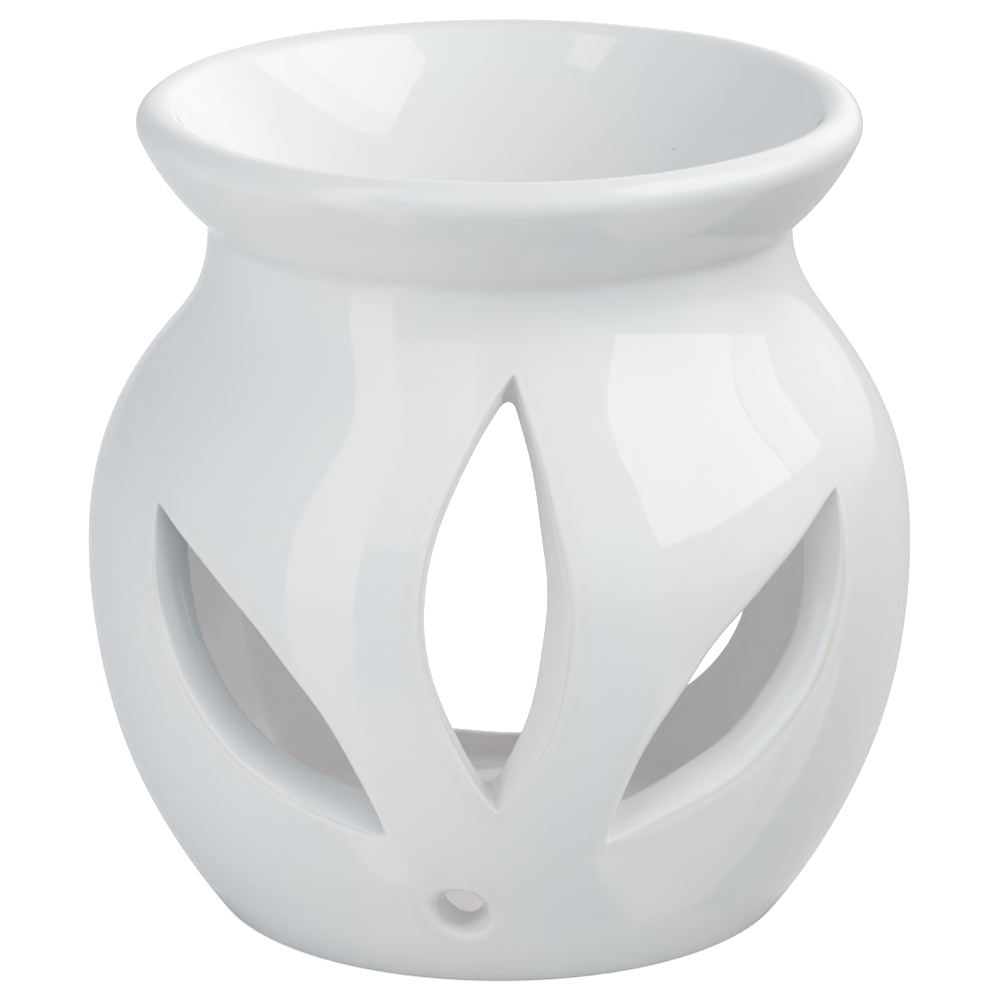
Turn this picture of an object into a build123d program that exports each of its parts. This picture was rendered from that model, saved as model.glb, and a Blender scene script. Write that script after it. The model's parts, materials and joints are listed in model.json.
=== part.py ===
"""Slip-cast ceramic oil burner: a pierced bulb that shelters a tealight, and an oil dish on its mouth.

Millimetres and degrees. +Z is up, the origin is the centre of the foot, and the leaf cut-outs face -Y.
Each casting is turned about the Z axis from one outline. The openings are then cut through the bulb's wall.
"""
import os
from math import atan, atan2, cos, degrees, hypot, radians, sin, sqrt

from build123d import *

# Bulb
bulb_diameter = 100.0         # widest part of the bulb
belly_height = 43.6           # height of the widest part above the foot
foot_diameter = 69.4          # sharp outline of the foot, before its edge is rounded
foot_edge_radius = 1.2
neck_diameter = 70.4          # waist between the bulb and the dish
seat_height = 84.2            # flat ring on which the dish is luted
hollow_height = 11.7          # stretch below the seat where the outline is hollow, above the round shoulder
wall = 5.0
floor_thickness = 4.5
floor_corner_radius = 4.0

# Oil dish
dish_height = 15.3            # top of the lip above the seat
rim_overhang = 8.2            # how far the lip stands out past the neck
lip_thickness = 5.2           # diameter of the rolled lip, on its outer side
lip_inner_radius = 6.0        # rounding from the top of the lip down into the bowl
neck_corner_radius = 2.5      # hollow corner where the dish leaves the neck
flare_radius = 28.8           # swell of the dish's wall between that corner and the lip
bowl_depth = 22.0             # from the top of the lip to the middle of the bowl
bowl_thickness = 5.0          # at the middle of the bowl
spigot_depth = 2.2            # ring under the dish that centres it in the bulb's mouth
spigot_clearance = 0.3

# Leaf cut-outs: one leaf with a full and a flat side, placed at an azimuth from the front, lower than the
# centre one by its drop, leaning to the right by its tilt
leaf_to_seat = 10.2           # from the upper tip of the centre leaf to the seat
leaf_to_foot = 26.4           # from its lower tip to the foot
leaf_full_bulge = 8.9         # from the line between the tips to the full side
leaf_flat_bulge = 5.7         # from that line to the flat side
leaf_tip_radius = 0.9
centre_leaf = {"azimuth": 0.6, "drop": 0.0, "tilt": 1.9, "full_side": "left"}
left_leaf = {"azimuth": -37.2, "drop": 10.2, "tilt": -45.1, "full_side": "left"}
right_leaf = {"azimuth": 36.3, "drop": 9.8, "tilt": 42.5, "full_side": "right"}

# Oval opening at the back, for the tealight, cut square to the wall: a cone with its point on the axis
back_opening_width = 71.6     # of the cone, at the distance of its section from the axis
back_opening_height = 37.8
back_section_distance = 33.0
back_section_height = 27.5    # middle of that section above the foot
back_point_height = 30.8

# Air hole low at the front
air_hole_diameter = 6.0
air_hole_azimuth = -6.3
air_hole_rise = 6.9           # from the floor up to the middle of the hole

# Softened rims of the openings
outer_rim_radius = 1.4
inner_rim_radius = 0.8

bulb_radius = bulb_diameter / 2
foot_radius = foot_diameter / 2
neck_radius = neck_diameter / 2
mouth_radius = neck_radius - wall
leaf_length = seat_height - leaf_to_seat - leaf_to_foot
cutter_reach = bulb_diameter  # far enough to pass the wall from the axis
same_place = 0.001            # two points nearer than this are one


def turned(*outline):
    """Solid of revolution about the Z axis from a closed outline in the XZ plane."""
    return revolve(Plane.XZ * make_face(outline), Axis.Z)


def bulb_outline(inset, bottom):
    """Side of the bulb moved in by an inset, from a height near the foot up to the seat, as three arcs.

    All three keep their centres when they are moved in, so the wall between two such outlines is even.
    """
    belly = (bulb_radius - inset, belly_height)
    seat = (neck_radius - inset, seat_height)
    foot_gap = bulb_radius - foot_radius
    lower_radius = (foot_gap**2 + belly_height**2) / (2 * foot_gap)
    lower_chord = sqrt((lower_radius - inset) ** 2 - (belly_height - bottom) ** 2)
    start = (bulb_radius - lower_radius + lower_chord, bottom)

    # The shoulder bulges and the stretch under the seat is hollow: both turn by the same angle
    turn = 2 * atan((bulb_radius - neck_radius) / (seat_height - belly_height))
    hollow_radius = hollow_height / sin(turn) + inset
    change = (seat[0] + hollow_radius * (1 - cos(turn)), seat_height - hollow_radius * sin(turn))
    return (
        TangentArc(belly, start, tangent=(0, -1)),
        TangentArc(belly, change, tangent=(0, 1)),
        TangentArc(seat, change, tangent=(0, -1)),
    )


def solid_bulb(inset, bottom, edge_radius):
    """Filled bulb moved in by an inset, flat at its bottom and its seat, with its lower edge rounded."""
    side = bulb_outline(inset, bottom)
    foot = side[0] @ 1
    seat = side[2] @ 0
    solid = turned(
        Line((0, bottom), foot),
        *side,
        Line(seat, (0, seat_height)),
        Line((0, seat_height), (0, bottom)),
    )
    return fillet(solid.edges().group_by(Axis.Z)[0], edge_radius)


def outward(azimuth, height):
    """Upright plane on the axis at a height, facing out at an azimuth that is counted from the front."""
    facing = Vector(sin(radians(azimuth)), -cos(radians(azimuth)), 0)
    sideways = Vector(cos(radians(azimuth)), sin(radians(azimuth)), 0)
    return Plane(origin=(0, 0, height), x_dir=sideways, z_dir=facing)


def leaf_cutter(azimuth, drop, tilt, full_side):
    """Leaf of a full and a flat arc with softened tips, pushed out through the wall."""
    top, bottom = (0, leaf_length / 2), (0, -leaf_length / 2)
    right = leaf_full_bulge if full_side == "right" else leaf_flat_bulge
    left = leaf_full_bulge if full_side == "left" else leaf_flat_bulge
    leaf = make_face([
        ThreePointArc(bottom, (right, 0), top),
        ThreePointArc(top, (-left, 0), bottom),
    ])
    leaf = fillet(leaf.vertices(), leaf_tip_radius)
    height = leaf_to_foot + leaf_length / 2 - drop
    return extrude(outward(azimuth, height) * Rot(0, 0, -tilt) * leaf, cutter_reach)


def back_section(share):
    """Oval section of the back opening's cone at a share of its section's distance from the axis."""
    height = back_point_height + (back_section_height - back_point_height) * share
    facing_back = outward(180, height).offset(back_section_distance * share)
    return facing_back * Ellipse(back_opening_width / 2 * share, back_opening_height / 2 * share)


def back_cutter():
    """Oval cone through the back of the wall."""
    return loft([back_section(0.5), back_section(2)], ruled=True)


def air_hole_cutter():
    """Round hole pushed out through the front of the wall."""
    hole = Circle(air_hole_diameter / 2)
    return extrude(outward(air_hole_azimuth, floor_thickness + air_hole_rise) * hole, cutter_reach)


def from_axis(point):
    """Distance of a point from the Z axis."""
    return hypot(point.X, point.Y)


def edges_along(rim, solid):
    """Edges of a solid that a rim, found beside it, runs along."""
    middles = [edge @ 0.5 for edge in rim.edges()]
    return [edge for edge in solid.edges()
            if any((edge @ 0.5 - middle).length < same_place for middle in middles)]


def opened(body, cutter):
    """Body with one opening cut through its wall, whose rims are rounded outside and inside."""
    cut = body - cutter
    rims = edges_to_wires(new_edges(body, cutter, combined=cut))
    inner, outer = sorted(rims, key=lambda rim: from_axis(rim.center(CenterOf.MASS)))
    rounded = fillet(edges_along(outer, cut), outer_rim_radius)
    return fillet(edges_along(inner, rounded), inner_rim_radius)


def bulb_body():
    """Bulb with its chamber and its five openings."""
    outside = solid_bulb(0, 0, foot_edge_radius)
    chamber = solid_bulb(wall, floor_thickness, floor_corner_radius)
    body = outside - chamber
    for leaf in (centre_leaf, left_leaf, right_leaf):
        body = opened(body, leaf_cutter(**leaf))
    body = opened(body, back_cutter())
    return opened(body, air_hole_cutter())


def centre_touching_both(corner, corner_reach, lip, lip_reach):
    """Point at one distance from a corner's centre and another from the lip's, on the axis side of both."""
    apart = (lip - corner).length
    along = (corner_reach**2 - lip_reach**2 + apart**2) / (2 * apart)
    aside = sqrt(corner_reach**2 - along**2)
    direction = (lip - corner).normalized()
    return corner + direction * along + Vector(-direction.Y, direction.X) * aside


def oil_dish():
    """Round bowl with a rolled lip and a flared wall, standing on the bulb's seat and centred by a spigot."""
    lip_radius = lip_thickness / 2
    lip_top = seat_height + dish_height
    lip = Vector(neck_radius + rim_overhang - lip_radius, lip_top - lip_radius)

    # The wall leaves the neck upright, turns out round a hollow corner and swells up to the lip
    corner = Vector(neck_radius + neck_corner_radius, seat_height)
    swell = centre_touching_both(corner, flare_radius + neck_corner_radius, lip, flare_radius - lip_radius)
    corner_end = corner + (swell - corner).normalized() * neck_corner_radius
    lip_foot = swell + (lip - swell).normalized() * flare_radius
    lip_foot_angle = degrees(atan2(lip.Y - swell.Y, lip.X - swell.X))
    neck_corner = TangentArc((neck_radius, seat_height), corner_end, tangent=(0, 1))
    flare = TangentArc(corner_end, lip_foot, tangent=neck_corner % 1)

    # The bowl is part of a ball on the axis that touches the rounding inside the lip and the bowl's lowest point
    bowl_bottom = lip_top - bowl_depth
    inner_lip = Vector(lip.X, lip_top - lip_inner_radius)
    reach = bowl_bottom - lip_inner_radius
    ball_height = (inner_lip.X**2 + inner_lip.Y**2 - reach**2) / (2 * (inner_lip.Y - reach))
    ball_to_lip = degrees(atan2(ball_height - inner_lip.Y, inner_lip.X))

    spigot_radius = mouth_radius - spigot_clearance
    spigot_foot = (spigot_radius, seat_height - spigot_depth)
    underside = (0, bowl_bottom - bowl_thickness)
    return turned(
        TangentArc(underside, spigot_foot, tangent=(1, 0)),
        Line(spigot_foot, (spigot_radius, seat_height)),
        Line((spigot_radius, seat_height), (neck_radius, seat_height)),
        neck_corner,
        flare,
        CenterArc(lip, lip_radius, lip_foot_angle, 90 - lip_foot_angle),
        CenterArc(inner_lip, lip_inner_radius, 90, 90 - ball_to_lip),
        CenterArc((0, ball_height), ball_height - bowl_bottom, -90, 90 - ball_to_lip),
        Line((0, bowl_bottom), underside),
    )


os.makedirs("parts", exist_ok=True)
export_step(bulb_body(), "parts/bulb_body.step")
export_step(oil_dish(), "parts/oil_dish.step")
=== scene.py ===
"""Glazed ceramic oil burner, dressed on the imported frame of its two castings.

A pierced bulb and the dish luted on its neck are turned skins, worked out in millimetres from a few sizes and
from the frame, and handed to Blender in metres. +Z is up and the leaf cut-outs face -Y. An azimuth is counted
from the front, positive to the right.
"""
import json
import logging
import math
from abc import ABC, abstractmethod
from dataclasses import dataclass, field
from enum import Enum

import bpy
import numpy as np
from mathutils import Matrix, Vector
from mathutils.geometry import delaunay_2d_cdt


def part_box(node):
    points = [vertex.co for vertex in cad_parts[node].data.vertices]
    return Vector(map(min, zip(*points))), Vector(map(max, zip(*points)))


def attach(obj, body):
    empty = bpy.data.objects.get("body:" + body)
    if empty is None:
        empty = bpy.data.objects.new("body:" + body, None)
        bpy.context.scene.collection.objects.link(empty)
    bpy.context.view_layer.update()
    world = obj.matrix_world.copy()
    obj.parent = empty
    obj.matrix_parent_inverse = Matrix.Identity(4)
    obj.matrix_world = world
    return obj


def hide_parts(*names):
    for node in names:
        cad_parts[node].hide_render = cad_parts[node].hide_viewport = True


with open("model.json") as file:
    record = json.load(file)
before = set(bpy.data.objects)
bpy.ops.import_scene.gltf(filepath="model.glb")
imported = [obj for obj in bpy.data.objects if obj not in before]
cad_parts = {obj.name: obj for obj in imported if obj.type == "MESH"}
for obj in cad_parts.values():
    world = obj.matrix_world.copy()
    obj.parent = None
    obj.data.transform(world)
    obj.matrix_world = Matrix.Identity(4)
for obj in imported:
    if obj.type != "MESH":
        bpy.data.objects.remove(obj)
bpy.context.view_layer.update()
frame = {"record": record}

MM = 0.001
TINY = 1e-12
SAME_PLACE = 1e-6
SMOOTH = 0.999
MERGE_GAP = 1e-9
BODY = "root"
# Colour layers: thin glaze, the inside's glaze lightened by painted light, and painted shade
GLAZE_LAYERS = ("thin_glaze", "inner_painted_light", "painted_shade_layer")
log = logging.getLogger("oil_burner")

Color = tuple[float, float, float]
Pair = tuple[float, float]
Share = np.ndarray | float
Loop = tuple[np.ndarray, np.ndarray]
Given = dict[str | int, object]


def unit(vectors: np.ndarray) -> np.ndarray:
    """Vectors brought to length one."""
    return vectors / np.maximum(np.linalg.norm(vectors, axis=-1, keepdims=True), TINY)


def rays(angle: np.ndarray) -> np.ndarray:
    """Flat directions at angles in radians."""
    return np.stack([np.cos(angle), np.sin(angle)], axis=1)


def right_of(ways: np.ndarray) -> np.ndarray:
    """Flat directions turned to their right."""
    return np.stack([ways[:, 1], -ways[:, 0]], axis=1)


def steps_of(points: np.ndarray) -> np.ndarray:
    """Lengths of the steps along a row of points."""
    return np.linalg.norm(np.diff(points, axis=0), axis=1)


def run_of(points: np.ndarray) -> np.ndarray:
    """How far along its row each point is."""
    return np.concatenate([[0], np.cumsum(steps_of(points))])


def chords(points: np.ndarray, axis: int = 0) -> np.ndarray:
    """Steps from the point before to the point after, round a closed row."""
    return np.roll(points, -1, axis=axis) - np.roll(points, 1, axis=axis)


def turned(angle: np.ndarray, radius: Share, height: Share) -> np.ndarray:
    """Points at azimuths in radians, distances from the axis and heights."""
    angle, radius, height = np.broadcast_arrays(angle, radius, height)
    return np.stack([radius * np.sin(angle), -radius * np.cos(angle), height], axis=-1)


def azimuth_of(points: np.ndarray) -> np.ndarray:
    """Azimuths of points, in radians."""
    return np.arctan2(points[..., 0], -points[..., 1])


def loop_distance(points: np.ndarray, loop: np.ndarray) -> np.ndarray:
    """Measures flat points against a closed loop.

    Args:
        points: Points in the plane, one a row.
        loop: Corners of the loop, in order.

    Returns:
        The distance of each point from the loop, negative inside it.
    """
    start, end = loop, np.roll(loop, -1, axis=0)
    edge = end - start
    offset = points[:, None, :] - start[None]
    share = np.clip((offset * edge).sum(-1) / np.maximum((edge**2).sum(-1), TINY), 0, 1)
    gap = np.linalg.norm(offset - share[..., None] * edge, axis=-1).min(axis=1)
    x, y = points[:, :1], points[:, 1:]
    spans = (start[:, 1] > y) != (end[:, 1] > y)
    run = np.where(np.abs(edge[:, 1]) < TINY, TINY, edge[:, 1])
    left_of = x < start[:, 0] + (y - start[:, 1]) * edge[:, 0] / run
    inside = (spans & left_of).sum(axis=1) % 2 == 1
    return np.where(inside, -gap, gap)


def rounded(start: np.ndarray, corner: np.ndarray, end: np.ndarray, share: Share,
            fullness: float = 0.8) -> np.ndarray:
    """Points at shares of a rounded corner, which keeps nearer to the sharp one the fuller it is."""
    first, middle, last = (1 - share) ** 2, 2 * fullness * share * (1 - share), share**2
    return (first * start + middle * corner + last * end) / (first + middle + last)


class Draft:
    """Mesh under construction: points with normals, shares of the colour layers (thin glaze, painted light
    inside, painted shade), and faces.
    """

    def __init__(self) -> None:
        """Starts with nothing in it."""
        self.points: list[np.ndarray] = []
        self.normals: list[np.ndarray] = []
        self.layers: dict[str, list[np.ndarray]] = {label: [] for label in GLAZE_LAYERS}
        self.faces: list[np.ndarray] = []
        self.count = 0

    def add(self, points: np.ndarray, normals: np.ndarray, thin: Share = 0.0, inner: Share = 0.0,
            painted_shade: Share = 0.0) -> np.ndarray:
        """Adds points.

        Args:
            points: Points in millimetres, in any layout that ends in three coordinates.
            normals: The ways that the surface faces there.
            thin: How thin the glaze is there, from 0 to 1.
            inner: The share of the inside's glaze there, from 0 to 1, which is lighter than the outer glaze
                as painted light.
            painted_shade: The share of painted shade there, from 0 to 1.

        Returns:
            The points' numbers, in the same layout.
        """
        layout = points.shape[:-1]
        self.points.append(points.reshape(-1, 3))
        self.normals.append(normals.reshape(-1, 3))
        for layer, share in zip(self.layers.values(), (thin, inner, painted_shade)):
            layer.append(np.broadcast_to(share, layout).reshape(-1))
        numbers = np.arange(self.count, self.count + math.prod(layout)).reshape(layout)
        self.count += numbers.size
        return numbers

    def weave(self, rows: np.ndarray, keep: np.ndarray | bool = True) -> None:
        """Joins rows of points, each of which closes on itself, by four-sided faces.

        Args:
            rows: Numbers of the points, one row after another.
            keep: Which cells between two rows to fill.
        """
        beside = np.roll(rows, -1, axis=1)
        cells = np.stack([rows[:-1], beside[:-1], beside[1:], rows[1:]], axis=-1)
        self.faces.append(cells[np.broadcast_to(keep, cells.shape[:2])])

    def close(self, rows: np.ndarray, heights: np.ndarray) -> None:
        """Closes the first row, which faces down, and the last, which faces up, by triangles on the axis.

        Args:
            rows: Numbers of the points, one row after another.
            heights: The rows' heights.
        """
        for end, way in ((0, -1.0), (-1, 1.0)):
            centre = self.add(np.array([[0.0, 0.0, heights[end]]]), np.array([[0.0, 0.0, way]]))
            ring = rows[end]
            self.faces.append(np.stack([ring, np.roll(ring, -1), np.full_like(ring, centre[0])], axis=-1))

    def piece(self, name: str, shaping: "HandShaping", material: bpy.types.Material) -> bpy.types.Object:
        """Makes the object from the points that faces use.

        Args:
            name: The piece's name.
            shaping: The unevenness given to the finished form.
            material: Its finish.

        Returns:
            The object, in metres, linked to the scene.
        """
        points, normals = shaping.worked(np.concatenate(self.points), unit(np.concatenate(self.normals)))
        parts = self._outward(points, normals)
        used = np.unique(np.concatenate([part.ravel() for part in parts]))
        faces = [face for part in parts for face in np.searchsorted(used, part).tolist()]
        mesh = bpy.data.meshes.new(name)
        mesh.from_pydata(points[used] * MM, [], faces)
        mesh.polygons.foreach_set("use_smooth", np.ones(len(mesh.polygons), dtype=bool))
        mesh.normals_split_custom_set_from_vertices(normals[used])
        for label, shares in self.layers.items():
            layer = mesh.attributes.new(label, "FLOAT", "POINT")
            layer.data.foreach_set("value", np.concatenate(shares)[used].astype(np.float32))
        mesh.materials.append(material)
        piece = bpy.data.objects.new(name, mesh)
        bpy.context.scene.collection.objects.link(piece)
        return piece

    def _outward(self, points: np.ndarray, normals: np.ndarray) -> list[np.ndarray]:
        """Faces turned to the side that their points' normals face.

        Args:
            points: All points.
            normals: Their normals.

        Returns:
            Point numbers of the faces, part by part.
        """
        parts: list[np.ndarray] = []
        for faces in self.faces:
            corner = points[faces]
            facing = np.cross(corner[:, 2] - corner[:, 0], corner[:, -1] - corner[:, 1])
            wrong = (facing * normals[faces].mean(axis=1)).sum(axis=1) < 0
            parts.append(np.where(wrong[:, None], faces[:, ::-1], faces))
        return parts


@dataclass(frozen=True)
class HandShaping:
    """Slight unevenness of slip-cast, hand-finished ware, the same for all pieces where they meet."""

    flat_azimuth: float = -105.0
    flat_height: float = 75.0
    flat_depth: float = 0.8
    flat_spread: float = 26.0
    flat_rise: float = 5.5
    flat_from: float = 16.0
    wave_count: int = 14
    wave_height: float = 0.035
    wave_lengths: Pair = (16.0, 46.0)
    calm_height: float = 10.0
    probe: float = 0.05
    seed: int = 7

    def shift(self, points: np.ndarray) -> np.ndarray:
        """How far points are moved by a flattened spot on one shoulder and by long shallow waves.

        Args:
            points: Points of the true form.

        Returns:
            Their displacements.
        """
        draw = np.random.default_rng(self.seed)
        across = unit(draw.normal(size=(self.wave_count, 3)))
        along = unit(draw.normal(size=(self.wave_count, 3)))
        lengths = draw.uniform(*self.wave_lengths, size=self.wave_count)
        phases = draw.uniform(0, math.tau, size=self.wave_count)
        turns = points @ (along / lengths[:, None]).T * math.tau + phases
        moved = self.wave_height * np.sin(turns) @ across

        angle = azimuth_of(points)
        turn = np.degrees(np.angle(np.exp(1j * (angle - math.radians(self.flat_azimuth)))))
        rise = points[:, 2] - self.flat_height
        spot = np.exp(-((turn / self.flat_spread) ** 2) - (rise / self.flat_rise) ** 2)
        spot *= np.clip(np.hypot(points[:, 0], points[:, 1]) / self.flat_from - 1, 0, 1)
        moved -= self.flat_depth * spot[:, None] * turned(angle, 1.0, 0.0)
        calm = np.clip(points[:, 2:] / self.calm_height, 0, 1)
        return moved * calm**2

    def worked(self, points: np.ndarray, normals: np.ndarray) -> tuple[np.ndarray, np.ndarray]:
        """Moves a form's points and turns its normals with them.

        Args:
            points: Points of the true form.
            normals: Their normals.

        Returns:
            The uneven form's points and normals.
        """
        # Two ways along the surface, found from an axis that is well off the normal
        helper = np.where(np.abs(normals[:, 2:]) < 0.9, [[0.0, 0.0, 1.0]], [[1.0, 0.0, 0.0]])
        first = unit(np.cross(normals, helper))
        here = points + self.shift(points)
        sides = [points + self.probe * way for way in (first, np.cross(normals, first))]
        reach = [side + self.shift(side) - here for side in sides]
        return here, unit(np.cross(*reach))


@dataclass
class TurnedOutline:
    """Half outline of a turned piece: points at distances from the axis and heights, and how they face."""

    points: list[np.ndarray] = field(default_factory=list)
    facing: list[np.ndarray] = field(default_factory=list)

    def curve(self, points: np.ndarray, facing: np.ndarray) -> None:
        """Adds a stretch by its points and the ways that they face."""
        self.points.append(points)
        self.facing.append(facing)

    def line(self, start: Pair, end: Pair, facing: Pair, steps: int) -> None:
        """Adds a straight stretch that faces one way."""
        share = np.linspace(0, 1, steps + 1)[:, None]
        self.curve(np.array(start) * (1 - share) + np.array(end) * share, np.tile(facing, (steps + 1, 1)))

    def arc(self, centre: Pair, radius: float, begin: float, end: float, steps: int,
            hollow: bool = False) -> None:
        """Adds a round stretch between angles in radians from straight out, facing its centre if hollow."""
        ray = rays(np.linspace(begin, end, steps + 1))
        self.curve(np.array(centre) + radius * ray, -ray if hollow else ray)

    def rows(self) -> tuple[np.ndarray, np.ndarray]:
        """Writes a smooth joint between two stretches once.

        Returns:
            The whole outline's points and the ways that they face.
        """
        points, facing = np.concatenate(self.points), np.concatenate(self.facing)
        smooth = (facing[1:] * facing[:-1]).sum(axis=1) > SMOOTH
        keep = np.concatenate([[True], ~((steps_of(points) < SAME_PLACE) & smooth)])
        return points[keep], facing[keep]


@dataclass(frozen=True)
class BulbForm:
    """Side of the bulb: an arc from the foot to the belly, and one easy curve on to the upright neck."""

    bulb_radius: float
    seat_height: float
    belly_height: float = 43.6
    foot_radius: float = 34.7
    neck_radius: float = 35.2
    belly_pull: float = 24.25
    neck_pull: float = 13.25
    below_foot: float = 3.0
    lower_steps: int = 500
    upper_steps: int = 900

    @property
    def lower_radius(self) -> float:
        """Radius of the arc between the foot and the belly."""
        gap = self.bulb_radius - self.foot_radius
        return (gap**2 + self.belly_height**2) / (2 * gap)

    @property
    def lower_centre(self) -> Pair:
        """Centre of the arc between the foot and the belly."""
        return self.bulb_radius - self.lower_radius, self.belly_height

    def side(self, inset: float) -> tuple[np.ndarray, np.ndarray]:
        """Draws the side finely, from a little below the foot up to the seat.

        Args:
            inset: How far inside the outer surface.

        Returns:
            Points at a distance from the axis and a height, and their outward normals.
        """
        lowest = math.asin((self.belly_height + self.below_foot) / self.lower_radius)
        ray = rays(np.linspace(-lowest, 0, self.lower_steps, endpoint=False))
        lower = np.array(self.lower_centre) + self.lower_radius * ray

        share = np.linspace(0, 1, self.upper_steps)[:, None]
        belly = np.array([self.bulb_radius, self.belly_height])
        seat = np.array([self.neck_radius, self.seat_height])
        pulls = belly, belly + [0, self.belly_pull], seat - [0, self.neck_pull], seat
        weights = (1 - share) ** 3, 3 * share * (1 - share) ** 2, 3 * share**2 * (1 - share), share**3
        upper = sum(weight * pull for weight, pull in zip(weights, pulls))
        ahead = unit(np.gradient(upper, axis=0))
        ahead[[0, -1]] = 0.0, 1.0
        facing = np.concatenate([ray, right_of(ahead)])
        return np.concatenate([lower, upper]) - inset * facing, facing

    def wall(self, height: np.ndarray, inset: float) -> tuple[np.ndarray, ...]:
        """Distances from the axis at heights, and the outward and upward parts of the normals there."""
        points, facing = self.side(inset)
        return tuple(np.interp(height, points[:, 1], column) for column in (points[:, 0], *facing.T))

    def stretch(self, inset: float, low: float, steps: int) -> tuple[np.ndarray, np.ndarray]:
        """Divides the side into even steps from a height up to the seat.

        Args:
            inset: How far inside the outer surface.
            low: The height at which it starts.
            steps: How many steps.

        Returns:
            Points at a distance from the axis and a height, and their outward normals.
        """
        points, facing = self.side(inset)
        along = run_of(points)
        places = np.linspace(np.interp(low, points[:, 1], along), along[-1], steps + 1)
        even = [np.interp(places, along, column) for column in (*points.T, *facing.T)]
        return np.stack(even[:2], axis=1), unit(np.stack(even[2:], axis=1))

    def laid(self, points: np.ndarray, inset: float) -> tuple[np.ndarray, np.ndarray]:
        """Points brought onto the wall at their own azimuth and height, and its outward normals there."""
        radius, out, up = self.wall(points[..., 2], inset)
        return turned(azimuth_of(points), radius, points[..., 2]), turned(azimuth_of(points), out, up)


@dataclass(frozen=True)
class LeafShape:
    """Pointed leaf, leaning to the right by its tilt, with a low and a high pull that fill each side."""

    azimuth: float
    height: float
    tilt: float
    length: float
    left: Pair
    right: Pair
    tip_reach: float
    side_steps: int = 84
    tip_steps: int = 12

    def _side(self, pulls: Pair, way: float) -> np.ndarray:
        """Draws one side from the lower tip to the upper one, short of both by the reach of their rounding.

        Args:
            pulls: How far the side is drawn out low down and high up.
            way: 1 for the right side and -1 for the left.

        Returns:
            Points to the right of and above the leaf's centre.
        """
        short = self.tip_reach / self.length
        share = np.linspace(short, 1 - short, self.side_steps)
        out = 3 * share * (1 - share) * ((1 - share) * pulls[0] + share * pulls[1])
        return np.stack([way * out, (share - 0.5) * self.length], axis=1)

    def flat(self) -> np.ndarray:
        """Draws the outline in the upright plane of its azimuth, counterclockwise.

        Returns:
            Points to the right of and above its centre.
        """
        right, left = self._side(self.right, 1), self._side(self.left, -1)[::-1]
        tip = np.array([0, self.length / 2])
        share = np.linspace(0, 1, self.tip_steps + 2)[1:-1, None]
        top = rounded(right[-1], tip, left[0], share)
        bottom = rounded(left[-1], -tip, right[0], share)
        lean = math.radians(self.tilt)
        turn = np.array([[math.cos(lean), -math.sin(lean)], [math.sin(lean), math.cos(lean)]])
        return np.concatenate([right, top, left, bottom]) @ turn

    def tips(self) -> np.ndarray:
        """How near each point of the outline is to a tip, from 0 at mid length to 1 at a tip."""
        side, tip = np.abs(np.linspace(-1, 1, self.side_steps)), np.ones(self.tip_steps)
        return np.concatenate([side, tip, side, tip])


@dataclass(frozen=True)
class OvalShape:
    """Oval or round opening in the upright plane of its azimuth."""

    azimuth: float
    height: float
    width: float
    rise: float
    steps: int

    def flat(self) -> np.ndarray:
        """Outline, counterclockwise, to the right of and above its centre."""
        angle = np.linspace(0, math.tau, self.steps, endpoint=False)
        return rays(angle) * [self.width / 2, self.rise / 2]

    def tips(self) -> np.ndarray:
        """An oval has no tips: a share of nought a point."""
        return np.zeros(self.steps)


@dataclass(frozen=True)
class RimShape:
    """Rounding of a cut: how far each edge's reaches along the wall and down the cut, and the swell between.

    The tips keep a share of it.
    """

    outer_reach: float
    outer_depth: float
    inner_reach: float
    inner_depth: float
    swell: float = 0.0
    tip_share: float = 1.0
    unevenness: float = 0.15


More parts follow.
